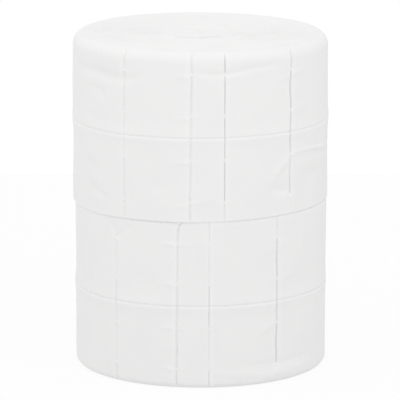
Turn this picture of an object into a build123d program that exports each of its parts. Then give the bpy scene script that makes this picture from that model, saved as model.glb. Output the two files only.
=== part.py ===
"""A column of two cellulose swab rolls, cut from one log and standing one on the other.

Each roll is a strip of wadding wound up on itself, with its winding hole pressed shut. Two rows of
swabs run along the strip: a perforated mid-line parts the rows, and slits held by small ties part each
swab from the next. Millimetres, +Z up, the origin in the middle of the underside and the front towards
-Y. Angles are in degrees round the column from its front, positive towards +X.
"""
import math
import os

from build123d import *

# The swabs, and the strip that they are torn from
swab_height = 40.0
swab_length = 49.0
rows_per_roll = 2
strip_thickness = 0.95

# The log that both rolls were cut from, a little tighter below
log_diameter = 121.4
lower_tightening = 0.8

# How many swabs round from its first slit each strip's loose end lies, at the back
upper_tail_swabs = 4
lower_tail_swabs = 3

# The edges: soft at the log's own ends, in a few facets, and tight at the cut between the rolls
upper_end_rounding = 5.3
lower_end_rounding = 4.5
rounding_facets = 3
cut_edge_bevel = 1.2

# The mid-line that parts the two rows
midline_width = 1.0
midline_depth = 0.5

# The slits between the swabs, in two sets, and the ties that bridge them
slit_width = 0.8
slit_depth = 1.6
tie_width = 1.4
tie_height_shares = (0.25, 0.75)
tail_clearance = 3.0
upper_slit_angles = (11.5, -3.5)
lower_slit_angles = (5.0, -10.0)

# The turns on the top face: one groove stands for several turns of the strip
turns_per_groove = 8
turn_groove_width = 1.1
turn_groove_depth = 0.6

# The gap round the first turns, which lie loose from the rest
loose_gap_diameter = 37.0
loose_gap_width = 1.4
loose_gap_depth = 1.2

# The winding hole, pressed shut: it shows as a notch at the outer end of each roll
shut_hole_length = 9.0
shut_hole_width = 1.4
shut_hole_depth = 4.0

# Every cut runs past the surface by this much
overrun = 2.0

# Worked out from the values above
roll_height = rows_per_roll * swab_height
loose_gap_radius = loose_gap_diameter / 2
half_turn_growth = strip_thickness / 2
turn_groove_pitch = turns_per_groove * strip_thickness
full_turn = 360
half_turn = full_turn / 2
quarter_turn = full_turn / 4
up = Vector(0, 0, 1)


def direction(angle):
    """The level unit vector at an angle round the column."""
    return Vector(math.sin(math.radians(angle)), -math.cos(math.radians(angle)), 0)


def soft_edge(radius, level, inward, rounding):
    """Points of a soft edge, from the end face to the wall, evenly spaced on a quarter circle."""
    steps = [math.radians(quarter_turn * step / rounding_facets) for step in range(rounding_facets + 1)]
    return [
        (radius - rounding * (1 - math.sin(angle)), level + inward * rounding * (1 - math.cos(angle)))
        for angle in steps
    ]


def roll_section(plane, radius, open_level, cut_level, end_rounding):
    """Half the section of a roll: soft at its open end, tight at its cut end, grooved between them."""
    inward = math.copysign(1, cut_level - open_level)
    middle = (open_level + cut_level) / 2
    with BuildSketch(plane) as section:
        with BuildLine():
            Polyline(
                (0, open_level),
                *soft_edge(radius, open_level, inward, end_rounding),
                (radius, middle - inward * midline_width / 2),
                (radius - midline_depth, middle),
                (radius, middle + inward * midline_width / 2),
                (radius, cut_level - inward * cut_edge_bevel),
                (radius - cut_edge_bevel, cut_level),
                (0, cut_level),
                close=True,
            )
        make_face()
    return section.sketch


def notches(level, outward, middles, width, depth):
    """V notches in an end face, in the front-facing plane: their width at the face, and a point inside it."""
    half_width = width / 2
    with BuildSketch(Plane.XZ) as sections:
        for middle in middles:
            Polygon(
                (middle - half_width, level + outward * overrun),
                (middle - half_width, level),
                (middle, level - outward * depth),
                (middle + half_width, level),
                (middle + half_width, level + outward * overrun),
                align=None,
            )
    return sections.sketch


def turn_distances(innermost, outermost):
    """How far from the axis the grooves start that fit between two distances, each a pitch further out."""
    count = math.floor((outermost - innermost) / turn_groove_pitch)
    return [innermost + turn_groove_pitch * number for number in range(count)]


def slit_set(front_angle, tail_angle, radius):
    """Angles of one set of slits, stepped both ways from the front and kept clear of the loose end."""
    step = math.degrees(swab_length / radius)
    clearance = math.degrees(tail_clearance / radius)
    first = math.ceil((tail_angle - full_turn + clearance - front_angle) / step)
    last = math.floor((tail_angle - clearance - front_angle) / step)
    return [front_angle + step * number for number in range(first, last + 1)]


def slit_spans(open_level, cut_level, end_rounding):
    """Heights between which a slit is cut: from tie to tie, short of the soft end and past the cut one."""
    inward = math.copysign(1, cut_level - open_level)
    base = min(open_level, cut_level)
    ties = [
        base + swab_height * (row + share)
        for row in range(rows_per_roll)
        for share in tie_height_shares
    ]
    stops = sorted([open_level + inward * end_rounding, *ties, cut_level + inward * overrun])
    return [(low + tie_width / 2, high - tie_width / 2) for low, high in zip(stops, stops[1:])]


def slits_section(level, radius, angles):
    """The V notches of all slits, seen from above: slit_width wide at the wall, to a point inside it."""
    reach = strip_thickness + overrun
    outer_half_width = slit_width / 2 * (slit_depth + reach) / slit_depth
    with BuildSketch(Plane.XY.offset(level)) as cuts:
        with Locations(*[Location((0, 0), angle - quarter_turn) for angle in angles]):
            Polygon(
                (radius - slit_depth, 0),
                (radius + reach, -outer_half_width),
                (radius + reach, outer_half_width),
                align=None,
            )
    return cuts.sketch


def make_roll(name, diameter, open_level, cut_level, end_rounding, tail_swabs, slit_angles):
    """One roll: its wound body with a step at the loose end, its shut hole, its turns and its slits."""
    radius = diameter / 2
    faces_up = open_level > cut_level
    tail_angle = slit_angles[0] + math.degrees(tail_swabs * swab_length / radius)
    tail = direction(tail_angle)
    angles = [angle for front in slit_angles for angle in slit_set(front, tail_angle, radius)]
    with BuildPart() as roll:
        # Half turns on two centres make one turn of the spiral, one strip further out at its end
        for outward, growth in ((tail, 0), (-tail, half_turn_growth)):
            plane = Plane(tail * growth, x_dir=outward, z_dir=outward.cross(up))
            section = roll_section(plane, radius + growth, open_level, cut_level, end_rounding)
            revolve(section, axis=Axis(plane.origin, up), revolution_arc=half_turn)

        # The winding hole, pressed shut from left and right
        facing = 1 if faces_up else -1
        shut_hole = notches(open_level, facing, [0], shut_hole_width, shut_hole_depth)
        extrude(shut_hole, amount=shut_hole_length / 2, both=True, mode=Mode.SUBTRACT)

        # The turns on the top face; the underside rests plain
        if faces_up:
            gap = notches(open_level, facing, [loose_gap_radius], loose_gap_width, loose_gap_depth)
            revolve(gap, axis=Axis.Z, mode=Mode.SUBTRACT)

            # Half turns on two centres half a pitch apart make the spirals inside and outside the gap
            innermost = shut_hole_length / 2 + turn_groove_width
            inner = turn_distances(innermost, loose_gap_radius - loose_gap_width)
            outer = turn_distances(loose_gap_radius + turn_groove_pitch / 2, radius - end_rounding)
            for side, shift in ((1, 0), (-1, turn_groove_pitch / 2)):
                middles = [side * distance for distance in inner + outer]
                grooves = notches(open_level, facing, middles, turn_groove_width, turn_groove_depth)
                spiral_axis = Axis((shift, 0, 0), up)
                revolve(grooves, axis=spiral_axis, revolution_arc=half_turn, mode=Mode.SUBTRACT)

        # The slits, each cut between its ties
        for low, high in slit_spans(open_level, cut_level, end_rounding):
            extrude(slits_section(low, radius, angles), amount=high - low, mode=Mode.SUBTRACT)
    roll.part.label = name
    export_step(roll.part, f"parts/{name}.step")


os.makedirs("parts", exist_ok=True)
make_roll(
    "upper_roll",
    diameter=log_diameter,
    open_level=2 * roll_height,
    cut_level=roll_height,
    end_rounding=upper_end_rounding,
    tail_swabs=upper_tail_swabs,
    slit_angles=upper_slit_angles,
)
make_roll(
    "lower_roll",
    diameter=log_diameter - lower_tightening,
    open_level=0,
    cut_level=roll_height,
    end_rounding=lower_end_rounding,
    tail_swabs=lower_tail_swabs,
    slit_angles=lower_slit_angles,
)
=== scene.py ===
"""Dresses a column of two cellulose swab rolls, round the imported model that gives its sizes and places.

Each roll is one strip of wadding wound up on itself. Two pieces show it: the outer wrap, with the
perforations that part the swabs, and the wound turns inside it, with the end face and the winding hole.
Metres, +Z up, the front towards -Y. Angles round the column start at the front and grow towards +X.
"""
import math
from dataclasses import dataclass

import bpy
import numpy as np
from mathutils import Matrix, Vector


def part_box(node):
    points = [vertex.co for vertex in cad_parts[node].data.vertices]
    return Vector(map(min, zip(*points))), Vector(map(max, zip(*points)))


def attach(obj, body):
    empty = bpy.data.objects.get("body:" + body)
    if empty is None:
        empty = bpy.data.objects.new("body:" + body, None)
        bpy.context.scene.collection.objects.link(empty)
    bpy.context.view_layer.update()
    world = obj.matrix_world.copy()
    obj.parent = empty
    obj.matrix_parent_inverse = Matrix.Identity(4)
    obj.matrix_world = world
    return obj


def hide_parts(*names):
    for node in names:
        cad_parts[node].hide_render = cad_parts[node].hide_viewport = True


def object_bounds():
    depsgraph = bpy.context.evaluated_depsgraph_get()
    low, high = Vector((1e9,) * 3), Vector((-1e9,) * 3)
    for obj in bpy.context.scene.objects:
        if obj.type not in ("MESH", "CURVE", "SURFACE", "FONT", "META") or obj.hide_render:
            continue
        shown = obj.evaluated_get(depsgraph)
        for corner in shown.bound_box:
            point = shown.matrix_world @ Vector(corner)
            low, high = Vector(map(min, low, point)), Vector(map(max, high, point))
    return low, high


bl_info = {
    "name": "Swab Roll Column",
    "version": (1, 0, 0),
    "blender": (4, 5, 0),
    "location": "View3D > Sidebar > Swab Roll",
    "description": "Builds a column of two wound swab rolls, their wadding and a pale stage",
    "category": "Add Mesh",
}

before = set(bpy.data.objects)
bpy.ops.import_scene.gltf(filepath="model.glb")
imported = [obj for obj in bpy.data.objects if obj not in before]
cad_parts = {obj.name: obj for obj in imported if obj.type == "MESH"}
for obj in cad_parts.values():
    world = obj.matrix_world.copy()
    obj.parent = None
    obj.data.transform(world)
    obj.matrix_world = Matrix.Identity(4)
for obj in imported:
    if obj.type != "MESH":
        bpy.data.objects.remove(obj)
CAD_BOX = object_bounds()

# The body that every piece takes, the material's own name, and the attribute that it reads
BODY = "root"
WADDING = "creped_wadding"
# The attribute marks loose fibres along the edges and also a painted highlight where those edges catch light
FRAY_AND_HIGHLIGHT = "fray_and_highlight"

# Units and plain values
MM = 0.001
FULL_TURN = 2 * math.pi
FULL_DEGREES = 360
QUAD = 4
SHARP_ANGLE = math.radians(50)
WHITE = (1, 1, 1, 1)
NODE_STEP = 200

# The strip: swabs in two rows, tied together near a quarter and three quarters of each row
SWAB_LENGTH = 49 * MM
MIDLINE_LEVEL = 39.65 * MM
TIE_LEVELS = np.array([9.2, 29, 50, 69.5]) * MM
CUTS = len(TIE_LEVELS) + 1
TAIL_CLEARANCE = 3 * MM

# The tilt of the lines round the column: how far they rise for each metre to the right, by their level
TILT_LEVELS = np.array([0, 40, 80, 120, 160]) * MM
TILT_RISES = np.array([0, 0.0075, 0.014, 0.0045, -0.006])

# The wrap takes in this many of the outermost turns
WRAP_TURNS = 7

# The columns of points stop this share of a turn short of the loose end
SEAM_SHARE = 0.0002

# Spacing of points on the wall: its finest, at a slit, a tie or the mid-line, its coarsest, and its growth
COLUMN_SPACING = (0.09 * MM, 1.3 * MM, 0.28)
ROW_SPACING = (0.22 * MM, 1.05 * MM, 0.25)
SPACING_SAMPLES = 40000

# Columns of points round the turns, and rows of points on each part of the pieces
TURN_COLUMNS = 260
ROWS_PER_TURN = 4
ROUNDING_ROWS = 16
CUT_ROWS = 9
UNDER_ROWS = 4
BACK_ROWS = 6
HOLE_ROWS = 24

# The forms along a slit: the shape of its notch, how far its edges roll in, also where it is closed, and how
# far its other forms reach from it or along it
NOTCH_POWER = 0.6
LIP_REACH = 1.5 * MM
CLOSED_LIP = 0.4
PROUD_REACH = 1.3 * MM
SHIFT_REACH = 6 * MM
WAVE_LENGTH = 21 * MM
HOOK_REACH = 1.9 * MM

# The forms at a tie: its pinch, how squarely it ends, and the folds that it draws up on both sides
TIE_PINCH = 1.3 * MM
TIE_SQUARENESS = 4
PUCKER_REACH = 2.3 * MM
FOLD_PLACE = 1.1
FOLD_HEIGHT = 0.6

# The slits stepped on round the roll: limits of their sizes in millimetres, how open a cut may stand, and
# within what share of a swab a slit that is already there takes the place
STEPPED_SIZES = {
    "width": (0.45, 0.9),
    "depth": (0.5, 1.3),
    "lip": (0.08, 0.35),
    "proud": (-0.12, 0.12),
    "pucker": (0.08, 0.22),
    "lean": (-0.6, 0.9),
    "wave": (0, 0.28),
}
STEPPED_OPENNESS = (0.2, 0.6, 1, 1)
SAME_PLACE = 0.2

# How open the cuts of a slit stand that shows only as a hairline
HAIRLINE = 0.3

# The mid-line between the rows of swabs: the swell of the wall, how it varies round the roll, and its groove
SWELL_REACH = 3.4 * MM
SWELL_VARIETY = 0.25
SWELL_CRESTS = 5
GROOVE_REACH = 0.36 * MM

# What is left of a crease at the ends of its path
CREASE_END = 0.35

# Where the wall's forms fade out on the soft rounding, by how far it has turned towards the wall
WALL_FADE = (0.45, 0.8)

# How wide the cut between the rolls stands, by the angle round the column
CUT_ANGLES = (-180, -70, -46, -35, -23, -12, 0, 12, 24, 53, 70, 180)
CUT_SHARES = (0.85, 0.7, 0.55, 1.0, 1.0, 0.6, 0.3, 0.4, 0.62, 0.9, 0.85, 0.85)

# Loose fibres with a painted highlight along the edges: beside the slits, under the mid-line, where it is
# only a painted highlight on the lower row's top edge, and at the cut, each with its place and reach
SLIT_FRAY_AND_HIGHLIGHT = (1.0 * MM, 0.9 * MM)
MIDLINE_HIGHLIGHT = (0.85 * MM, 0.4 * MM)
CUT_FRAY_AND_HIGHLIGHT = (1.3 * MM, 0.6 * MM)

# How full the loose fibres and painted highlight are: along an edge that isn't proud, along a closed cut, and
# along the lines round a roll
FLAT_FRAY_AND_HIGHLIGHT = 0.5
CLOSED_FRAY_AND_HIGHLIGHT = 0.3
LINE_FRAY_AND_HIGHLIGHT = 0.7

# The strip's loose end: how far it stands off, over what length, how that varies, how its edge strays, and
# the place and reach of the loose fibres and painted highlight along that edge
TAIL_LIFT = 0.5 * MM
TAIL_REACH = 5 * MM
TAIL_VARIETY = 0.3
TAIL_STRAY = 0.5 * MM
TAIL_WAVE = 31 * MM
TAIL_FRAY_AND_HIGHLIGHT = (0.3 * MM, 0.5 * MM)

# The winding hole, pressed shut: its lip, how far out the turns are pressed, and how it closes further down
LIP_ROUNDING = 0.06 * MM
PRESS_END = 16 * MM
PRESS_NARROWING = 0.995
PRESS_STRETCH = 0.5
SHUT_DEPTH = 0.3 * MM
SHUT_NARROWING = 0.97

# The turns on the end faces: the shape of their crown, how their valleys vary, and how far they stray
CROWN_POWER = 2.0
VALLEY_VARIETY = 0.3
WANDER = 0.5 * MM
WANDER_START = 48 * MM
WANDER_END = 58 * MM

# The hollow of the underside
SETTLE_START = 40 * MM
SETTLE_END = 52 * MM
SETTLE_DEPTH = 0.45 * MM

# The first turns on top, which lie loose from the rest and stand proud in front
CORE_RADIUS = 18.5 * MM
CORE_EDGE = 0.5 * MM
CORE_RISE = 0.8 * MM
CORE_TIGHTNESS = 0.5

# The rim of the top, which stands up except in front
RIM_RISE = 0.5 * MM
RIM_START = 40 * MM
RIM_END = 56 * MM
RIM_FRONT = (-0.9, 0.3)
RIM_TIGHTNESS = 0.55

# Where turns lie loose from each other on the top face: radius, middle and half span in degrees, and depth
LOOSE_GAPS = (
    (18.5 * MM, 0, 50, 1.6 * MM),
    (18.5 * MM, 180, 60, 0.6 * MM),
    (27.0 * MM, -68, 26, 0.3 * MM),
    (26.2 * MM, 66, 24, 0.3 * MM),
)

# How many strips such a gap reaches, and the share of its half span at which it starts to fade
GAP_REACH = 0.55
GAP_FADE = 0.5

# Soft unevenness: how many waves, their weights, their crests round the column, and their steepest rise
RIPPLE_WAVES = 14
RIPPLE_WEIGHTS = (0.4, 1)
WALL_ORDERS = (3, 18)
WALL_RISE = 190.0
FACE_ORDERS = (1, 7)
FACE_RISE = 420.0

# Steps on from a roll's seed, for the waves of its end faces, of their valleys and of the turns' straying
FACE_SEED = 1
VALLEY_SEED = 2
WANDER_SEED = 3

# The wadding's finish: its gloss, its sheen and the limits of its roughness
SPECULAR = 0.5
SHEEN = 0.01
SHEEN_ROUGHNESS = 0.6
ROUGHNESS = (0.86, 1.0)

# Its patterns: clouds where plies lie thinner, crepe ridges drawn out upright, and coarser loose fibres
CLOUD_SCALE = 70.0
CLOUD_DETAIL = 3.0
CLOUD_RANGE = (0.35, 0.6)
CREPE_DETAIL = 2.0
CREPE_UPRIGHT = (1, 1, 0.22)
FIBRE_SHARE = 0.35
FIBRE_DETAIL = 5.0
BUMP_STRENGTH = 0.5

# The stage: half the floor's side, the lamp, how far below the middle the camera aims, and where the dome
# starts to dim, as a cosine from the middle of its dim side
FLOOR_HALF = 0.45
KEY_SIZE = 0.5
KEY_PLACE = (0.2, -0.6, 0.75)
CAMERA_DROP = 1.9 * MM
DIM_START = 0.3


@dataclass
class Slit:
    """A line of cuts between two swabs: its angle in degrees, its sizes in metres, and how open it stands.

    The shares in open run from the lowest cut to the highest. Proud is how far one edge stands up, the one
    on the side of its sign. Lean, wave, hook and crook carry the line sideways: evenly, in waves, at the
    tight end and at the open end.
    """
    angle: float
    width: float = 0.4 * MM
    depth: float = 0.35 * MM
    lip: float = 0.08 * MM
    proud: float = 0
    pucker: float = 0.06 * MM
    lean: float = 0
    wave: float = 0
    hook: float = 0
    crook: float = 0
    open: tuple = (HAIRLINE,) * CUTS


@dataclass
class Crease:
    """A soft fold, in degrees and millimetres: its path of (angle, level), half width and height."""
    path: tuple
    reach: float
    lift: float


@dataclass
class Roll:
    """One roll of the column: which way its open end faces, where its strip ends and how it is creased."""
    node: str
    name: str
    faces_up: bool
    end_rounding: float
    tail_angle: float
    slit_starts: tuple
    slits: tuple
    creases: tuple
    seed: int

    @property
    def base(self):
        """Level of the CAD roll's lower end."""
        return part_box(self.node)[0].z

    @property
    def top(self):
        """Level of the CAD roll's upper end."""
        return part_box(self.node)[1].z

    @property
    def open_level(self):
        """Level of the soft end, which faces away from the other roll."""
        return self.top if self.faces_up else self.base

    @property
    def cut_level(self):
        """Level of the tight end, at the cut between the rolls."""
        return self.base if self.faces_up else self.top

    @property
    def inward(self):
        """The way in from the open end: -1 for down, 1 for up."""
        return -1 if self.faces_up else 1

    def radius(self, strip):
        """Half of the CAD roll's depth less the strip that stands up at the loose end."""
        low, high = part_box(self.node)
        return (high.y - low.y - strip) / 2


UPPER_ROLL = Roll(
    node="upper_roll",
    name="upper",
    faces_up=True,
    end_rounding=5.3 * MM,
    tail_angle=196.5,
    slit_starts=(11.5, -3.5),
    slits=(
        Slit(-49.8),
        Slit(-35.9, width=1.2 * MM, depth=1.1 * MM, lip=0.12 * MM, open=(0.65, 0.76, 0.52, 0.84, 0.65)),
        Slit(
            -4.1, width=1.15 * MM, depth=1.05 * MM, lip=0.14 * MM, proud=-0.12 * MM, pucker=0.26 * MM,
            lean=1.0 * MM, wave=0.1 * MM, open=(0.78, 0.75, 0.74, 0.78, 0.73),
        ),
        Slit(
            10.95, width=0.55 * MM, depth=0.98 * MM, lip=0.1 * MM, proud=0.12 * MM, pucker=0.12 * MM,
            lean=0.2 * MM, open=(0.5, 0.88, 0.82, 0.88, 1),
        ),
        Slit(
            44.1, width=0.84 * MM, depth=1.55 * MM, lip=0.14 * MM, proud=0.14 * MM, pucker=0.24 * MM,
            lean=0.5 * MM, wave=0.3 * MM, crook=2.3 * MM, open=(0.25, 0.68, 0.92, 1, 0.75),
        ),
        Slit(58.4),
    ),
    creases=(
        Crease(((-3, 150.4), (7, 149.6), (13, 149.7), (19, 151.2), (26, 152.2), (36, 152.6)), 1.4, -0.62),
        Crease(((-70, 147.5), (-53, 147), (-42, 145.8), (-34, 146), (-28, 148)), 2.5, -0.95),
        Crease(((-56, 139.5), (-50, 138.5), (-47, 134.5)), 1.8, -0.55),
        Crease(((-60, 127), (-55, 125)), 1.8, -0.4),
        Crease(((-35.4, 155), (-35.4, 147)), 2.0, -0.45),
        Crease(((45, 108.4), (51, 109.6), (59, 109.3), (70, 108.0), (84, 106)), 1.0, 0.5),
        Crease(((46, 106), (60, 106.4), (78, 105)), 1.5, -0.2),
        Crease(((43.6, 107.2), (39, 103.6), (36, 100.6), (34, 97.2)), 1.7, 0.72),
        Crease(((35, 93), (43, 91.5)), 2.3, -0.75),
        Crease(((52, 97), (68, 96)), 3.4, -0.5),
        Crease(((-21, 101), (-18, 93)), 4.4, -0.5),
        Crease(((-60, 104), (-52, 101)), 2.4, -0.5),
        Crease(((-58, 93), (-46, 88)), 1.8, -0.5),
        Crease(((-10, 148.4), (-4, 148.2)), 1.1, 0.32),
        Crease(((-11, 108.2), (-4, 107.9)), 1.1, 0.34),
        Crease(((-10, 87.6), (-4, 87.4)), 1.1, 0.32),
        Crease(((-3, 88.4), (3, 90.3)), 1.1, 0.32),
        Crease(((-11, 128.6), (-4, 128.8)), 1.1, 0.3),
        Crease(((12, 148.2), (15, 149.2)), 1.0, 0.28),
        Crease(((37, 145.2), (44, 146.8)), 1.2, 0.42),
        Crease(((45, 146.8), (54, 148.6)), 1.2, 0.34),
        Crease(((45, 129.4), (58, 132)), 1.5, 0.26),
    ),
    seed=11,
)
LOWER_ROLL = Roll(
    node="lower_roll",
    name="lower",
    faces_up=False,
    end_rounding=3.2 * MM,
    tail_angle=144.7,
    slit_starts=(5.0, -10.0),
    slits=(
        Slit(-56.5),
        Slit(-41.3, width=1.4 * MM, depth=1.3 * MM, lip=0.1 * MM, open=(0.65, 0.5, 0.66, 0.5, 0.3)),
        Slit(
            -10.4, width=1.1 * MM, depth=0.95 * MM, lip=0.14 * MM, proud=-0.12 * MM, pucker=0.26 * MM,
            lean=0.8 * MM, wave=0.1 * MM, hook=1.9 * MM, open=(1, 1, 0.88, 0.85, 0.9),
        ),
        Slit(
            4.1, width=0.54 * MM, depth=0.95 * MM, lip=0.1 * MM, proud=0.1 * MM, pucker=0.1 * MM,
            lean=0.2 * MM, open=(0.7, 0.45, 0.74, 0.4, 0.5),
        ),
        Slit(
            36.9, width=0.92 * MM, depth=1.5 * MM, lip=0.12 * MM, proud=0.14 * MM, pucker=0.2 * MM,
            wave=0.18 * MM, open=(0.18, 1, 0.82, 0.9, 0.5),
        ),
        Slit(51.4),
    ),
    creases=(
        Crease(((7, 7.0), (18, 6.0), (33, 4.8), (46, 5.0), (58, 6.4)), 1.6, 0.5),
        Crease(((20, 10.5), (40, 9.6), (60, 10.4)), 1.9, -0.4),
        Crease(((-40.4, 70.5), (-45, 79)), 1.3, -0.5),
        Crease(((-40.4, 70.5), (-33, 77)), 1.3, -0.5),
        Crease(((-17, 69.4), (-11, 69.0)), 1.1, 0.34),
        Crease(((-9, 68.8), (-5, 69.6)), 1.0, 0.28),
        Crease(((-16, 50.2), (-11, 50.0)), 1.1, 0.3),
        Crease(((-17, 29.2), (-11, 28.9)), 1.1, 0.32),
        Crease(((-16, 9.5), (-11, 9.1)), 1.1, 0.34),
        Crease(((27, 24.5), (35.5, 29)), 1.5, 0.4),
        Crease(((31, 65), (36, 66)), 3.2, 0.4),
        Crease(((38, 65), (42, 67)), 2.6, 0.34),
        Crease(((37, 49.8), (50, 52)), 1.5, 0.26),
        Crease(((-22, 48), (-30, 56)), 4.0, -0.4),
    ),
    seed=23,
)
ROLLS = (UPPER_ROLL, LOWER_ROLL)


class SwabRollShape(bpy.types.PropertyGroup):
    """Sizes of the wound strip and its perforations."""
    strip_thickness: bpy.props.FloatProperty(
        name="Strip thickness", description="Thickness of the wound strip of wadding",
        default=0.95 * MM, unit="LENGTH",
    )
    hole_radius: bpy.props.FloatProperty(
        name="Hole radius", description="Radius of the winding hole before it is pressed shut",
        default=3.0 * MM, unit="LENGTH",
    )
    cut_rounding: bpy.props.FloatProperty(
        name="Cut edge rounding", description="Rounding of the edges at the cut between the rolls",
        default=0.9 * MM, unit="LENGTH",
    )
    tie_height: bpy.props.FloatProperty(
        name="Tie height", description="Half the height of the uncut tie across a slit",
        default=0.75 * MM, unit="LENGTH",
    )
    swell: bpy.props.FloatProperty(
        name="Mid-line swell", description="How far the wall swells out at the mid-line",
        default=0.6 * MM, unit="LENGTH",
    )
    groove: bpy.props.FloatProperty(
        name="Mid-line depth", description="Depth of the perforation along the mid-line",
        default=0.45 * MM, unit="LENGTH",
    )
    valley: bpy.props.FloatProperty(
        name="Turn valley", description="How far the end face sinks between two turns",
        default=0.38 * MM, unit="LENGTH",
    )
    unevenness: bpy.props.FloatProperty(
        name="Unevenness", description="Height of the soft waves in the wadding",
        default=0.16 * MM, unit="LENGTH",
    )


class WaddingFinish(bpy.types.PropertyGroup):
    """Colours and texture of the wadding."""
    colour: bpy.props.FloatVectorProperty(
        name="Colour", description="Colour of the bleached wadding",
        default=(0.933, 0.933, 0.929), subtype="COLOR", size=3, min=0, max=1,
    )
    thin_colour: bpy.props.FloatVectorProperty(
        name="Thin colour", description="Colour where the plies lie thinner",
        default=(0.924, 0.924, 0.922), subtype="COLOR", size=3, min=0, max=1,
    )
    # Lighter than the wadding along cut edges: partly loose fibres, partly a painted highlight where the
    # edges catch light
    frayed_and_highlight_colour: bpy.props.FloatVectorProperty(
        name="Frayed colour", description="Colour of the loose fibres along cut edges",
        default=(0.95, 0.95, 0.948), subtype="COLOR", size=3, min=0, max=1,
    )
    crepe_spacing: bpy.props.FloatProperty(
        name="Crepe spacing", description="Distance between the fine ridges of the crepe",
        default=0.55 * MM, unit="LENGTH",
    )
    crepe_depth: bpy.props.FloatProperty(
        name="Crepe depth", description="Depth of the fine ridges of the crepe",
        default=0.05 * MM, unit="LENGTH",
    )


class PaleStage(bpy.types.PropertyGroup):
    """Floor, light and camera."""
    floor_colour: bpy.props.FloatVectorProperty(
        name="Floor", description="Colour of the floor", default=(0.2, 0.2, 0.2),
        subtype="COLOR", size=3, min=0, max=1,
    )
    shadow_share: bpy.props.FloatProperty(
        name="Shadow share", description="How much of the floor's own shade shows under the white",
        default=0.18, subtype="FACTOR",
    )
    floor_glow: bpy.props.FloatProperty(
        name="Floor glow", description="Light from below, as from a lit table", default=0.565,
    )
    dome_strength: bpy.props.FloatProperty(
        name="Dome", description="Strength of the soft light all round", default=0.945,
    )
    dim_angle: bpy.props.FloatProperty(
        name="Dim side", description="Angle round the column of the side where the dome is dimmer",
        default=math.radians(138), subtype="ANGLE",
    )
    dimming: bpy.props.FloatProperty(
        name="Dimming", description="How much dimmer the dome is there", default=0.22, subtype="FACTOR",
    )
    key_power: bpy.props.FloatProperty(
        name="Key", description="Power of the large soft lamp, in front and above",
        default=0.4, unit="POWER",
    )
    camera_distance: bpy.props.FloatProperty(
        name="Camera distance", description="From the camera to the middle of the column",
        default=1.75, unit="LENGTH",
    )
    camera_elevation: bpy.props.FloatProperty(
        name="Camera elevation", description="How far the camera looks down",
        default=math.radians(11.83), subtype="ANGLE",
    )
    focal_length: bpy.props.FloatProperty(
        name="Focal length", description="Focal length in millimetres on a 36 mm sensor", default=327.5,
    )


def smooth(low, high, value):
    """0 below low, 1 above high, and an S-shaped cubic between them."""
    share = np.clip((value - low) / (high - low), 0, 1)
    return share * share * (3 - 2 * share)


def bell(offset, reach):
    """1 at no offset, falling as a Gauss curve with that reach."""
    return np.exp(-((offset / reach) ** 2))


def varied(variety, phase):
    """A share that swings with the sine of the phase, from 1 down to 1 less twice the variety."""
    return 1 - variety * (1 - np.sin(phase))


def nearest_way(angle):
    """The same angle, brought between half a turn back and half a turn on."""
    return (angle + math.pi) % FULL_TURN - math.pi


def graded(start, end, marks, spacing):
    """Stations from start to end: equal steps in the running sum of 1 / spacing.

    The spacing is its finest at each mark, and grows with the distance from it until it is its coarsest.
    """
    finest, coarsest, growth = spacing
    sample = np.linspace(start, end, SPACING_SAMPLES)
    distance = np.min(np.abs(sample[:, None] - np.asarray(marks)), axis=1)
    density = 1 / np.clip(finest + growth * distance, finest, coarsest)
    steps = (density[1:] + density[:-1]) / 2 * np.diff(sample)
    count = np.concatenate([[0], np.cumsum(steps)])
    return np.interp(np.linspace(0, count[-1], math.ceil(count[-1]) + 1), count, sample)


def ripple(angle, level, seed, orders=WALL_ORDERS, steepest=WALL_RISE):
    """Soft unevenness about 1 high: a sum of sine waves in angle and level, with seeded phases.

    Each wave has a whole number of crests round the column, drawn from orders, and its phase rises with the
    level, at the steepest or less.
    """
    rng = np.random.default_rng(seed)
    total = np.zeros(np.broadcast(angle, level).shape)
    for _ in range(RIPPLE_WAVES):
        order = rng.integers(*orders)
        rise = rng.uniform(-steepest, steepest)
        weight = rng.uniform(*RIPPLE_WEIGHTS)
        phase = rng.uniform(0, FULL_TURN)
        total += weight * np.sin(order * angle + rise * level + phase)
    return total / math.sqrt(RIPPLE_WAVES)


def turn_growth(share, strip):
    """How far the spiral has grown at a share of a turn past the loose end.

    Nothing over the first half turn, then half a cosine up to one strip, as the CAD roll grows.
    """
    return np.where(share < 0.5, 0, strip / 2 * (1 + np.cos(FULL_TURN * share)))


def turn_crown(phase):
    """Height of a turn across the strip: 1 less a power of the way from its middle, so 0 in the valleys."""
    return 1 - np.abs(2 * phase - 1) ** CROWN_POWER


def winding_strip(roll, shape):
    """The strip thickness nearest the wanted one that fills the roll in whole turns, and their number."""
    depth = roll.radius(shape.strip_thickness) - shape.hole_radius
    turns = round(depth / shape.strip_thickness)
    return depth / turns, turns


def roll_slits(roll, radius):
    """The slits given one by one, and the others stepped on by the swab length.

    The others keep clear of the loose end, and their sizes are drawn evenly between two limits.
    """
    step = math.degrees(SWAB_LENGTH / radius)
    clearance = math.degrees(TAIL_CLEARANCE / radius)
    rng = np.random.default_rng(roll.seed)
    slits = list(roll.slits)
    for start in roll.slit_starts:
        first = math.ceil((roll.tail_angle - FULL_DEGREES + clearance - start) / step)
        last = math.floor((roll.tail_angle - clearance - start) / step)
        for number in range(first, last + 1):
            angle = start + number * step
            if min(abs(angle - known.angle) for known in roll.slits) > step * SAME_PLACE:
                sizes = {name: rng.uniform(*limits) * MM for name, limits in STEPPED_SIZES.items()}
                openness = tuple(rng.choice(STEPPED_OPENNESS, CUTS))
                slits.append(Slit(angle, open=openness, **sizes))
    return slits


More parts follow.
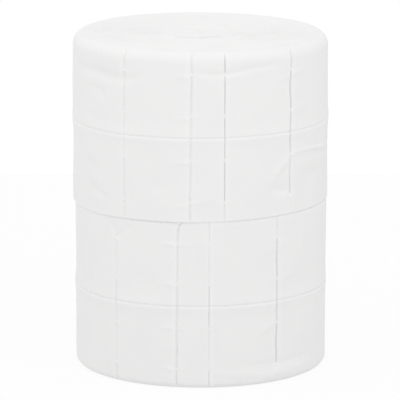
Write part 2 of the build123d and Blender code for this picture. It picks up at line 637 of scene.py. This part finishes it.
def slit_relief(slit, roll, shape, across, level):
    """How far the wall stands out beside one slit, from the distance across it and the level.

    A pointed notch that closes at the ties, edges that roll in beside it, one edge that stands up, and a
    pinch at each tie with a small fold on both sides.
    """
    ties = roll.base + TIE_LEVELS
    share = np.array(slit.open)[np.searchsorted(ties, level)]
    from_ties = level[..., None] - ties
    held = np.max(np.exp(-((from_ties / shape.tie_height) ** TIE_SQUARENESS)), axis=-1)
    pinch = np.max(bell(from_ties, TIE_PINCH), axis=-1)
    notch = np.clip(1 - np.abs(across) / (slit.width / 2), 0, 1) ** NOTCH_POWER
    lips = np.exp(-np.abs(across) / LIP_REACH)
    lip_share = CLOSED_LIP + (1 - CLOSED_LIP) * share
    edge = np.where(across * slit.proud > 0, bell(across, PROUD_REACH), 0)
    fold_reach = PUCKER_REACH / 2
    beside = bell(np.abs(across) - FOLD_PLACE * PUCKER_REACH, fold_reach)
    folds = FOLD_HEIGHT * beside - bell(across, fold_reach)
    return (
        -slit.depth * share * (1 - held) * notch
        - slit.lip * lip_share * lips
        + abs(slit.proud) * edge * (1 - held)
        + slit.pucker * pinch * folds
    )


def slit_shift(slit, roll, level):
    """How far one slit runs sideways at a level: its lean, its wave, and what carries it at either end."""
    height = roll.top - roll.base
    from_open = np.abs(level - roll.open_level)
    hook = slit.hook * np.exp(-np.abs(height - from_open) / HOOK_REACH)
    crook = slit.crook * np.exp(-from_open / HOOK_REACH)
    rising = (level - roll.base) / height - 0.5
    wave = np.sin(FULL_TURN * level / WAVE_LENGTH + slit.angle)
    return slit.lean * rising + slit.wave * wave + hook + crook


def crease_relief(crease, radius, angle, level):
    """How far the wall stands out near a fold: the fullest of the bells across its legs, less at its ends."""
    points = np.array([(math.radians(turned) * radius, height * MM) for turned, height in crease.path])
    lengths = np.linalg.norm(np.diff(points, axis=0), axis=1)
    run = np.concatenate([[0], np.cumsum(lengths)])
    place = np.stack(np.broadcast_arrays(angle * radius, level), axis=-1)
    best = np.zeros(place.shape[:-1])
    for start, leg, length, begun in zip(points, np.diff(points, axis=0), lengths, run):
        share = np.clip(((place - start) @ leg) / length**2, 0, 1)
        distance = np.linalg.norm(place - start - share[..., None] * leg, axis=-1)
        along = (begun + share * length) / run[-1]
        fullness = CREASE_END + (1 - CREASE_END) * np.sin(math.pi * along)
        best = np.maximum(best, bell(distance, crease.reach * MM) * fullness)
    return crease.lift * MM * best


def core_share(radius):
    """1 on the first turns, which lie loose from the rest, and 0 outside them."""
    return 1 - smooth(CORE_RADIUS - CORE_EDGE, CORE_RADIUS, radius)


def core_lift(radius, angle):
    """How far the first turns stand proud: by an S-shaped rise from the middle to their front edge."""
    return CORE_RISE * core_share(radius) * smooth(0, CORE_RADIUS, radius * np.cos(angle))


def rim_lift(radius, angle):
    """How far the top's rim stands up: not in front, and by an S-shaped rise round the sides and back."""
    return RIM_RISE * smooth(RIM_START, RIM_END, radius) * smooth(*RIM_FRONT, -np.cos(angle))


def face_lift(roll, shape, radius, angle):
    """How far an end face stands out: on top, waves with the first turns and rim proud; below, a hollow."""
    waves = shape.unevenness * ripple(angle, radius, roll.seed + FACE_SEED, FACE_ORDERS, FACE_RISE)
    if roll.faces_up:
        return waves + core_lift(radius, angle) + rim_lift(radius, angle)
    return (np.abs(waves) - waves.max() - SETTLE_DEPTH) * (1 - smooth(SETTLE_START, SETTLE_END, radius))


def turn_wander(roll, radius, angle):
    """How far the turns stray from their circle: in soft waves, none at the wall."""
    waves = ripple(angle, radius, roll.seed + WANDER_SEED, FACE_ORDERS, FACE_RISE)
    return WANDER * waves * (1 - smooth(WANDER_START, WANDER_END, radius))


def level_tilt(level, angle, radius):
    """How far a line round the column rises: the tilt at its level times its way to the right."""
    return np.interp(level, TILT_LEVELS, TILT_RISES) * radius * np.sin(angle)


def wrap_profile(roll, shape, strip):
    """The wrap's section as rows of points: inset, drop, outward direction in two parts, and two weights.

    The inset is from the wall, and the drop from the open end. The section runs from the open face over
    the soft rounding, down the wall, round the tight edge and back inside. The weights say how far a row
    belongs to the wall, and whether it belongs to the tight edge.
    """
    height = roll.top - roll.base
    depth = WRAP_TURNS * strip
    rounding = roll.end_rounding
    cut = shape.cut_rounding
    quarter = np.linspace(0, math.pi / 2, ROUNDING_ROWS)
    tight = np.linspace(0, math.pi / 2, CUT_ROWS)[1:]
    marks = np.abs(roll.base + np.append(TIE_LEVELS, MIDLINE_LEVEL) - roll.open_level)
    wall = graded(rounding, height - cut, marks, ROW_SPACING)[1:]
    face = np.arange(depth, rounding, -strip / ROWS_PER_TURN)
    under = np.linspace(cut, depth, UNDER_ROWS)[1:]
    back = np.linspace(height, 0, BACK_ROWS)[1:-1]
    out = np.sin(quarter)
    up = np.cos(quarter)
    tight_out = np.cos(tight)
    tight_down = np.sin(tight)
    parts = (
        (face, 0, 0, 1, 0, 0),
        (rounding * (1 - out), rounding * (1 - up), out, up, smooth(*WALL_FADE, out), 0),
        (0, wall, 1, 0, 1, 0),
        (cut * (1 - tight_out), height - cut + cut * tight_down, tight_out, -tight_down, tight_out, 1),
        (under, height, 0, -1, 0, 0),
        (depth, back, -1, 0, 0, 0),
    )
    rows = [np.stack(np.broadcast_arrays(*part)) for part in parts]
    return np.concatenate(rows, axis=1)


def slit_fray_and_highlight(slit, roll, across, level):
    """How much loose fibre and painted highlight the wall takes beside one slit, from 0 to 1: a bell along
    each edge, fuller on the proud edge, where the painted highlight stands for light caught by the raised
    edge.
    """
    share = np.array(slit.open)[np.searchsorted(roll.base + TIE_LEVELS, level)]
    place, reach = SLIT_FRAY_AND_HIGHLIGHT
    side = np.where(across * slit.proud > 0, 1, FLAT_FRAY_AND_HIGHLIGHT)
    fullness = side * (CLOSED_FRAY_AND_HIGHLIGHT + (1 - CLOSED_FRAY_AND_HIGHLIGHT) * share)
    return fullness * bell(np.abs(across) - slit.width / 2 - place, reach)


def line_fray_and_highlight(roll, level):
    """How much painted highlight the wall takes under the mid-line, on the top edge of the lower row, and how
    much loose fibre and painted highlight at the cut between the rolls, from 0 to 1.
    """
    under, reach = MIDLINE_HIGHLIGHT
    midline_highlight = bell(level - roll.base - MIDLINE_LEVEL + under, reach)
    inside, cut_reach = CUT_FRAY_AND_HIGHLIGHT
    cut = bell(np.abs(level - roll.cut_level) - inside, cut_reach)
    return LINE_FRAY_AND_HIGHLIGHT * (midline_highlight + cut)


def wrap_points(roll, shape):
    """Points of the wrap on a grid: columns round the roll from its loose end, rows round its section.

    Radius = the wall's, plus the spiral's growth, less the row's inset, plus the relief along the row's
    outward direction. The level follows the row's drop, the face's lift and the tilt of the lines. Each
    point also gets how much loose fibre it shows, which also sets how much painted highlight it takes.
    """
    strip, _ = winding_strip(roll, shape)
    radius = roll.radius(shape.strip_thickness)
    slits = roll_slits(roll, radius)
    tail = math.radians(roll.tail_angle)
    around = FULL_TURN * radius
    places = [math.radians((slit.angle - roll.tail_angle) % FULL_DEGREES) * radius for slit in slits]
    run = graded(0, around * (1 - SEAM_SHARE), places, COLUMN_SPACING)
    angle = (tail + run / radius)[:, None]
    front_angle = nearest_way(angle)
    inset, drop, out, up, on_wall, at_cut = wrap_profile(roll, shape, strip)[:, None, :]
    tightness = at_cut * (1 - np.interp(np.degrees(front_angle), CUT_ANGLES, CUT_SHARES))
    inset = inset * (1 - tightness)
    drop = drop + (roll.top - roll.base - drop) * tightness
    level = roll.open_level + roll.inward * drop

    relief = shape.unevenness * ripple(angle, level, roll.seed)
    middle = roll.base + MIDLINE_LEVEL
    fullness = varied(SWELL_VARIETY, SWELL_CRESTS * angle + roll.seed)
    relief += shape.swell * bell(level - middle, SWELL_REACH) * fullness
    relief -= shape.groove * bell(level - middle, GROOVE_REACH)
    shift = np.zeros(relief.shape)
    fray_and_highlight = line_fray_and_highlight(roll, level) + shift
    for slit in slits:
        across = nearest_way(angle - math.radians(slit.angle)) * radius
        relief += slit_relief(slit, roll, shape, across, level)
        fray_and_highlight += slit_fray_and_highlight(slit, roll, across, level)
        shift += slit_shift(slit, roll, level) * bell(across, SHIFT_REACH)
    for crease in roll.creases:
        relief += crease_relief(crease, radius, front_angle, level)

    from_tail = around - run[:, None]
    beside_tail = np.minimum(from_tail, run[:, None])
    tail_phase = FULL_TURN * level / TAIL_WAVE
    tail_place, tail_reach = TAIL_FRAY_AND_HIGHLIGHT
    relief += TAIL_LIFT * (1 - smooth(0, TAIL_REACH, from_tail)) * varied(TAIL_VARIETY, tail_phase)
    # Loose fibres and a painted highlight along the loose end's edge
    fray_and_highlight += bell(from_tail - tail_place, tail_reach)
    shift += TAIL_STRAY * np.sin(tail_phase + roll.seed) * bell(beside_tail, TAIL_REACH)
    relief *= on_wall

    # The tight edge counts as the middle of a turn, so that no valley shows there
    phase = np.where(at_cut > 0, 0.5, (inset / strip) % 1)
    turns = -valley_depth(shape, radius - inset) * (1 - turn_crown(phase)) * np.clip(up, 0, 1) ** 2
    share = run[:, None] / around
    reach = radius + turn_growth(share, strip) - inset + relief * out
    lift = face_lift(roll, shape, reach, angle) * np.clip(up, 0, 1)
    reach = reach + turn_wander(roll, reach, angle)
    level = level - roll.inward * (relief * up + turns + lift)
    level = level + level_tilt(level, angle, reach)
    turned = angle + shift / radius
    points = np.stack([reach * np.sin(turned), -reach * np.cos(turned), level], axis=-1)
    return points, np.clip(fray_and_highlight, 0, 1) * on_wall


def ring_faces(columns, rows):
    """Corners of the quads of a grid that closes in both directions."""
    index = np.arange(columns * rows).reshape(columns, rows)
    across = np.roll(index, -1, axis=0)
    corners = (index, across, np.roll(across, -1, axis=1), np.roll(index, -1, axis=1))
    return np.stack(corners, axis=-1).reshape(-1, QUAD)


def bridge_faces(first, second):
    """Corners of the quads between two closed loops of as many points."""
    corners = (first, np.roll(first, -1), np.roll(second, -1), second)
    return np.stack(corners, axis=-1)


def spiral_faces(index):
    """Corners of the quads of a spiral sheet: the last column meets the first one turn further out.

    They run the other way round than a bridge's, so that both agree along the sheet's edges.
    """
    sheet = np.stack([index[:-1, :-1], index[1:, :-1], index[1:, 1:], index[:-1, 1:]], axis=-1)
    last = index[-1, :-ROWS_PER_TURN]
    first = index[0, ROWS_PER_TURN:]
    seam = np.stack([last[:-1], first[:-1], first[1:], last[1:]], axis=-1)
    return np.concatenate([sheet.reshape(-1, QUAD), seam])[:, ::-1]


def gap_sink(roll, shape, angle, out, strip):
    """How far the top sinks where turns lie loose: a notch beside the nearest turn, fading at both ends."""
    sink = np.zeros(np.broadcast(angle, out).shape)
    for radius, middle, half_span, depth in LOOSE_GAPS if roll.faces_up else ():
        beside = round((radius - shape.hole_radius) / strip)
        notch = np.clip(1 - np.abs(out / strip - beside) / GAP_REACH, 0, 1)
        turned = np.degrees(np.abs(nearest_way(angle - math.radians(middle))))
        sink += depth * notch * (1 - smooth(GAP_FADE * half_span, half_span, turned))
    return sink


def press_share(reach, shape):
    """How far the turns are pressed together at a distance from the axis: 1 at the hole, 0 further out."""
    return 1 - smooth(shape.hole_radius, PRESS_END, reach)


def press_shut(points, shape):
    """Presses the first turns together: the nearer to the hole, the more x narrows and y stretches."""
    share = press_share(np.hypot(points[..., 0], points[..., 1]), shape)
    width = points[..., 0] * (1 - PRESS_NARROWING * share)
    length = points[..., 1] * (1 + PRESS_STRETCH * share)
    return np.stack([width, length, points[..., 2]], axis=-1)


def valley_depth(shape, reach):
    """How far the face sinks between turns: less where they are pressed shut, in the core and at the rim.

    The full depth, times one share for each of these three places.
    """
    core = 1 - CORE_TIGHTNESS * core_share(reach)
    rim = 1 - RIM_TIGHTNESS * smooth(RIM_START, RIM_END, reach)
    return shape.valley * (1 - press_share(reach, shape)) * core * rim


def turns_mesh(roll, shape):
    """Points and quads of the wound turns: a spiral sheet on the open face, the shut hole and hidden sides.

    A point of the sheet has radius = the hole's + strip * row / rows per turn + the spiral's growth. Its
    level is the face's lift less the valley between turns, the loose gaps and the rounding of the hole's
    lip. The first turns are then pressed together, and the hole closes further down.
    """
    strip, turns = winding_strip(roll, shape)
    share = np.linspace(0, 1 - SEAM_SHARE, TURN_COLUMNS)[:, None]
    angle = math.radians(roll.tail_angle) + FULL_TURN * share
    rows = np.arange((turns - WRAP_TURNS) * ROWS_PER_TURN + 1)
    out = strip * rows / ROWS_PER_TURN
    reach = shape.hole_radius + out + turn_growth(share, strip)
    variety = VALLEY_VARIETY * ripple(angle, reach, roll.seed + VALLEY_SEED, FACE_ORDERS, FACE_RISE)
    depth = valley_depth(shape, reach) * (1 + variety)
    lip = LIP_ROUNDING * (1 - np.sqrt(1 - np.clip(1 - out / LIP_ROUNDING, 0, 1) ** 2))
    sink = depth * (1 - turn_crown((rows / ROWS_PER_TURN) % 1)) + lip
    sink = sink + gap_sink(roll, shape, angle, out, strip)
    level = roll.open_level - roll.inward * (face_lift(roll, shape, reach, angle) - sink)
    reach = reach + turn_wander(roll, reach, angle)
    level = level + level_tilt(level, angle, reach)
    sheet = press_shut(np.stack([reach * np.sin(angle), -reach * np.cos(angle), level], axis=-1), shape)
    index = np.arange(sheet.shape[0] * sheet.shape[1]).reshape(sheet.shape[:2])

    inner = np.concatenate([index[:, 0], index[0, ROWS_PER_TURN:0:-1]])
    outer = np.concatenate([index[:, -1], index[-1, -2:-2 - ROWS_PER_TURN:-1]])
    points = sheet.reshape(-1, 3)
    fall = np.linspace(0, 1, HOLE_ROWS)[1:, None] ** 2
    hole = np.repeat(points[inner][None], len(fall), axis=0)
    hole[..., 2] += (roll.cut_level - hole[..., 2]) * fall
    hole[..., 0] *= 1 - SHUT_NARROWING * smooth(0, SHUT_DEPTH, np.abs(hole[..., 2] - roll.open_level))
    far_rim = points[outer].copy()
    far_rim[:, 2] = roll.cut_level
    hole_index = len(points) + np.arange(hole.shape[0] * len(inner)).reshape(hole.shape[:2])
    rim_index = len(points) + hole_index.size + np.arange(len(outer))

    loops = np.concatenate([inner[None], hole_index])
    faces = [spiral_faces(index)]
    faces += [bridge_faces(upper, lower) for upper, lower in zip(loops, loops[1:])]
    faces.append(bridge_faces(loops[-1], rim_index))
    faces.append(bridge_faces(rim_index, outer))
    return np.concatenate([points, hole.reshape(-1, 3), far_rim]), np.concatenate(faces)


def signed_volume(points, faces):
    """Volume inside the quads, above zero where they face outwards: a sum of signed corner pyramids."""
    a, b, c, d = (points[faces[:, corner]] for corner in range(QUAD))
    first = np.einsum("ij,ij->i", a, np.cross(b, c))
    second = np.einsum("ij,ij->i", a, np.cross(c, d))
    return (first.sum() + second.sum()) / 6


def add_piece(name, points, faces, roll, material, fray_and_highlight=None):
    """Makes a smooth mesh object that faces outwards, dresses it, and lets it stand for its CAD roll.

    Where fray_and_highlight is given, each point keeps it as an attribute, which the material reads as loose
    fibres and painted highlight.
    """
    if signed_volume(points, faces) < 0:
        faces = faces[:, ::-1]
    mesh = bpy.data.meshes.new(name)
    mesh.vertices.add(len(points))
    mesh.vertices.foreach_set("co", points.astype(np.float32).ravel())
    mesh.loops.add(faces.size)
    mesh.loops.foreach_set("vertex_index", faces.astype(np.int32).ravel())
    mesh.polygons.add(len(faces))
    mesh.polygons.foreach_set("loop_start", np.arange(0, faces.size, QUAD, dtype=np.int32))
    mesh.polygons.foreach_set("use_smooth", np.ones(len(faces), dtype=bool))
    mesh.update(calc_edges=True)
    if mesh.validate():
        raise RuntimeError(f"{name} has faces that aren't sound")
    mesh.set_sharp_from_angle(angle=SHARP_ANGLE)
    if fray_and_highlight is not None:
        attribute = mesh.attributes.new(FRAY_AND_HIGHLIGHT, "FLOAT", "POINT")
        attribute.data.foreach_set("value", fray_and_highlight.astype(np.float32).ravel())
    mesh.materials.append(material)
    piece = bpy.data.objects.new(name, mesh)
    bpy.context.scene.collection.objects.link(piece)
    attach(piece, BODY)
    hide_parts(roll.node)
    return piece


def add_node(tree, kind, place, **settings):
    """A node of that kind at a place in the tree, with its settings; named sockets take plain values."""
    node = tree.nodes.new(kind)
    node.location = place
    for key, value in settings.items():
        if hasattr(node, key):
            setattr(node, key, value)
        else:
            node.inputs[key.replace("_", " ").title()].default_value = value
    return node


def wadding_material(finish):
    """Bleached creped wadding: crepe ridges and loose fibres as bump, and cloudy where plies lie thinner.

    It is lighter where the piece's own attribute marks loose fibres along its edges, which also paints a
    highlight there.
    """
    found = bpy.data.materials.get(WADDING)
    if found:
        return found
    material = bpy.data.materials.new(WADDING)
    material.use_nodes = True
    tree = material.node_tree
    tree.nodes.clear()
    link = tree.links.new
    output = add_node(tree, "ShaderNodeOutputMaterial", (700, 0))
    shader = add_node(tree, "ShaderNodeBsdfPrincipled", (400, 0))
    shader.inputs["Specular IOR Level"].default_value = SPECULAR
    shader.inputs["Sheen Weight"].default_value = SHEEN
    shader.inputs["Sheen Roughness"].default_value = SHEEN_ROUGHNESS
    coordinates = add_node(tree, "ShaderNodeTexCoord", (-900, 0))

    clouds = add_node(tree, "ShaderNodeTexNoise", (-600, 300), scale=CLOUD_SCALE, detail=CLOUD_DETAIL)
    colour = add_node(tree, "ShaderNodeMix", (100, 250), data_type="RGBA")
    colour.inputs["A"].default_value = (*finish.thin_colour, 1)
    colour.inputs["B"].default_value = (*finish.colour, 1)
    gentle = add_node(tree, "ShaderNodeMapRange", (-300, 300))
    gentle.inputs["From Min"].default_value = CLOUD_RANGE[0]
    gentle.inputs["From Max"].default_value = CLOUD_RANGE[1]
    link(coordinates.outputs["Object"], clouds.inputs["Vector"])
    link(clouds.outputs["Fac"], gentle.inputs["Value"])
    link(gentle.outputs["Result"], colour.inputs["Factor"])
    # Lighter where the attribute says: loose fibres, and a painted highlight along the edges
    fray_and_highlight = add_node(tree, "ShaderNodeAttribute", (-50, 450), attribute_name=FRAY_AND_HIGHLIGHT)
    frayed_and_lit = add_node(tree, "ShaderNodeMix", (250, 300), data_type="RGBA")
    frayed_and_lit.inputs["B"].default_value = (*finish.frayed_and_highlight_colour, 1)
    link(fray_and_highlight.outputs["Fac"], frayed_and_lit.inputs["Factor"])
    link(colour.outputs["Result"], frayed_and_lit.inputs["A"])
    link(frayed_and_lit.outputs["Result"], shader.inputs["Base Color"])

    upright = add_node(tree, "ShaderNodeMapping", (-600, -200))
    upright.inputs["Scale"].default_value = CREPE_UPRIGHT
    crepe = add_node(tree, "ShaderNodeTexNoise", (-300, -150), detail=CREPE_DETAIL)
    crepe.inputs["Scale"].default_value = 1 / finish.crepe_spacing
    fibres = add_node(tree, "ShaderNodeTexNoise", (-300, -400), detail=FIBRE_DETAIL)
    fibres.inputs["Scale"].default_value = FIBRE_SHARE / finish.crepe_spacing
    heights = add_node(tree, "ShaderNodeMath", (-50, -250), operation="ADD")
    bump = add_node(tree, "ShaderNodeBump", (150, -250))
    bump.inputs["Strength"].default_value = BUMP_STRENGTH
    bump.inputs["Distance"].default_value = finish.crepe_depth
    link(coordinates.outputs["Object"], upright.inputs["Vector"])
    link(upright.outputs["Vector"], crepe.inputs["Vector"])
    link(coordinates.outputs["Object"], fibres.inputs["Vector"])
    link(crepe.outputs["Fac"], heights.inputs[0])
    link(fibres.outputs["Fac"], heights.inputs[1])
    link(heights.outputs["Value"], bump.inputs["Height"])
    link(bump.outputs["Normal"], shader.inputs["Normal"])

    dryness = add_node(tree, "ShaderNodeMapRange", (100, 0))
    dryness.inputs["To Min"].default_value = ROUGHNESS[0]
    dryness.inputs["To Max"].default_value = ROUGHNESS[1]
    link(fibres.outputs["Fac"], dryness.inputs["Value"])
    link(dryness.outputs["Result"], shader.inputs["Roughness"])
    link(shader.outputs["BSDF"], output.inputs["Surface"])
    return material


def shown_ray(tree, place):
    """1 for a ray that shows the background: from the camera, a reflection or through glass."""
    path = add_node(tree, "ShaderNodeLightPath", place)
    first = add_node(tree, "ShaderNodeMath", (place[0] + NODE_STEP, place[1]), operation="MAXIMUM")
    both = add_node(tree, "ShaderNodeMath", (place[0] + 2 * NODE_STEP, place[1]), operation="MAXIMUM")
    tree.links.new(path.outputs["Is Camera Ray"], first.inputs[0])
    tree.links.new(path.outputs["Is Glossy Ray"], first.inputs[1])
    tree.links.new(first.outputs["Value"], both.inputs[0])
    tree.links.new(path.outputs["Is Transmission Ray"], both.inputs[1])
    return both.outputs["Value"]


def floor_material(stage):
    """A pale matt floor, lit from below, that shows white with the shadow on it mixed in faintly."""
    material = bpy.data.materials.new("pale_floor")
    material.use_nodes = True
    tree = material.node_tree
    tree.nodes.clear()
    link = tree.links.new
    output = add_node(tree, "ShaderNodeOutputMaterial", (600, 0))
    matt = add_node(tree, "ShaderNodeBsdfDiffuse", (-200, -100))
    matt.inputs["Color"].default_value = (*stage.floor_colour, 1)
    glow = add_node(tree, "ShaderNodeEmission", (-200, -250), strength=stage.floor_glow)
    lit = add_node(tree, "ShaderNodeAddShader", (100, -150))
    white = add_node(tree, "ShaderNodeEmission", (-200, 200))
    shade = add_node(tree, "ShaderNodeBsdfDiffuse", (-200, 50))
    shade.inputs["Color"].default_value = WHITE
    veil = add_node(tree, "ShaderNodeMixShader", (100, 100))
    veil.inputs["Fac"].default_value = stage.shadow_share
    pick = add_node(tree, "ShaderNodeMixShader", (350, 0))
    link(white.outputs["Emission"], veil.inputs[1])
    link(shade.outputs["BSDF"], veil.inputs[2])
    link(shown_ray(tree, (-600, 350)), pick.inputs["Fac"])
    link(matt.outputs["BSDF"], lit.inputs[0])
    link(glow.outputs["Emission"], lit.inputs[1])
    link(lit.outputs["Shader"], pick.inputs[1])
    link(veil.outputs["Shader"], pick.inputs[2])
    link(pick.outputs["Shader"], output.inputs["Surface"])
    return material


def light_dome(stage):
    """A soft dome of light, dimmer towards one side, which shows as white behind the object.

    Its strength falls with the cosine between a direction and the middle of the dim side.
    """
    world = bpy.data.worlds.new("light_dome")
    world.use_nodes = True
    tree = world.node_tree
    tree.nodes.clear()
    output = add_node(tree, "ShaderNodeOutputWorld", (600, 0))
    soft = add_node(tree, "ShaderNodeBackground", (0, -100))
    direction = add_node(tree, "ShaderNodeTexCoord", (-700, -150))
    facing = add_node(tree, "ShaderNodeVectorMath", (-500, -150), operation="DOT_PRODUCT")
    facing.inputs[1].default_value = (math.sin(stage.dim_angle), -math.cos(stage.dim_angle), 0)
    strength = add_node(tree, "ShaderNodeMapRange", (-250, -150))
    strength.inputs["From Min"].default_value = DIM_START
    strength.inputs["To Min"].default_value = stage.dome_strength
    strength.inputs["To Max"].default_value = stage.dome_strength * (1 - stage.dimming)
    tree.links.new(direction.outputs["Generated"], facing.inputs[0])
    tree.links.new(facing.outputs["Value"], strength.inputs["Value"])
    tree.links.new(strength.outputs["Result"], soft.inputs["Strength"])
    white = add_node(tree, "ShaderNodeBackground", (0, 100))
    for background in (soft, white):
        background.inputs["Color"].default_value = WHITE
    pick = add_node(tree, "ShaderNodeMixShader", (300, 0))
    tree.links.new(shown_ray(tree, (-500, 300)), pick.inputs["Fac"])
    tree.links.new(soft.outputs["Background"], pick.inputs[1])
    tree.links.new(white.outputs["Background"], pick.inputs[2])
    tree.links.new(pick.outputs["Shader"], output.inputs["Surface"])
    bpy.context.scene.world = world


def aimed(thing, place, target):
    """Puts a lamp or camera at a place and turns it to look at the target."""
    item = bpy.data.objects.new(thing.name, thing)
    item.location = place
    item.rotation_euler = (Vector(target) - Vector(place)).to_track_quat("-Z", "Y").to_euler()
    bpy.context.scene.collection.objects.link(item)
    return item


class SWABROLL_OT_wraps(bpy.types.Operator):
    """Build the outer wrap of each roll, with its slits, ties, mid-line and creases"""
    bl_idname = "swabroll.wraps"
    bl_label = "Outer Wraps"

    def execute(self, context):
        material = wadding_material(context.scene.swab_finish)
        for roll in ROLLS:
            grid, fray_and_highlight = wrap_points(roll, context.scene.swab_shape)
            faces = ring_faces(*grid.shape[:2])
            add_piece(f"{roll.name}_wrap", grid.reshape(-1, 3), faces, roll, material, fray_and_highlight)
        return {"FINISHED"}


class SWABROLL_OT_turns(bpy.types.Operator):
    """Build the wound turns inside each wrap, with the open end face and the winding hole"""
    bl_idname = "swabroll.turns"
    bl_label = "Wound Turns"

    def execute(self, context):
        material = wadding_material(context.scene.swab_finish)
        for roll in ROLLS:
            points, faces = turns_mesh(roll, context.scene.swab_shape)
            add_piece(f"{roll.name}_turns", points, faces, roll, material)
        return {"FINISHED"}


class SWABROLL_OT_stage(bpy.types.Operator):
    """Set up the pale floor, the soft light and the camera"""
    bl_idname = "swabroll.stage"
    bl_label = "Stage"

    def execute(self, context):
        stage = context.scene.swab_stage
        low, high = CAD_BOX
        middle = Vector((0, 0, (low.z + high.z) / 2 - CAMERA_DROP))
        mesh = bpy.data.meshes.new("floor")
        signs = ((-1, -1), (1, -1), (1, 1), (-1, 1))
        corners = [(x * FLOOR_HALF, y * FLOOR_HALF, low.z) for x, y in signs]
        mesh.from_pydata(corners, [], [tuple(range(QUAD))])
        mesh.materials.append(floor_material(stage))
        floor = bpy.data.objects.new("floor", mesh)
        context.scene.collection.objects.link(floor)

        light_dome(stage)
        key = bpy.data.lights.new("key", "AREA")
        key.shape = "DISK"
        key.size = KEY_SIZE
        key.energy = stage.key_power
        aimed(key, KEY_PLACE, middle)

        camera = bpy.data.cameras.new("camera")
        camera.lens = stage.focal_length
        back = Vector((0, -math.cos(stage.camera_elevation), math.sin(stage.camera_elevation)))
        context.scene.camera = aimed(camera, middle + back * stage.camera_distance, middle)
        context.scene.view_settings.view_transform = "Standard"
        return {"FINISHED"}


class SWABROLL_PT_panel(bpy.types.Panel):
    """Lists the steps that build the column and its stage."""
    bl_idname = "SWABROLL_PT_panel"
    bl_label = "Swab Roll"
    bl_space_type = "VIEW_3D"
    bl_region_type = "UI"
    bl_category = "Swab Roll"

    def draw(self, context):
        for group, operators in PANEL_ROWS:
            settings = getattr(context.scene, group)
            for name in settings.__annotations__:
                self.layout.prop(settings, name)
            for operator in operators:
                self.layout.operator(operator.bl_idname)


GROUPS = {"swab_shape": SwabRollShape, "swab_finish": WaddingFinish, "swab_stage": PaleStage}
OPERATORS = (SWABROLL_OT_wraps, SWABROLL_OT_turns, SWABROLL_OT_stage)
PANEL_ROWS = (("swab_shape", OPERATORS[:2]), ("swab_finish", ()), ("swab_stage", OPERATORS[2:]))
CLASSES = (*GROUPS.values(), *OPERATORS, SWABROLL_PT_panel)


def register():
    """Registers the classes, and gives the scene the groups of settings."""
    for item in CLASSES:
        bpy.utils.register_class(item)
    for name, group in GROUPS.items():
        setattr(bpy.types.Scene, name, bpy.props.PointerProperty(type=group))


def unregister():
    """Takes the groups of settings away again, and the classes in reverse order."""
    for name in GROUPS:
        delattr(bpy.types.Scene, name)
    for item in reversed(CLASSES):
        bpy.utils.unregister_class(item)


def main():
    """Registers the classes, and builds the column and its stage."""
    register()
    bpy.ops.swabroll.wraps()
    bpy.ops.swabroll.turns()
    bpy.ops.swabroll.stage()


if __name__ == "__main__":
    main()
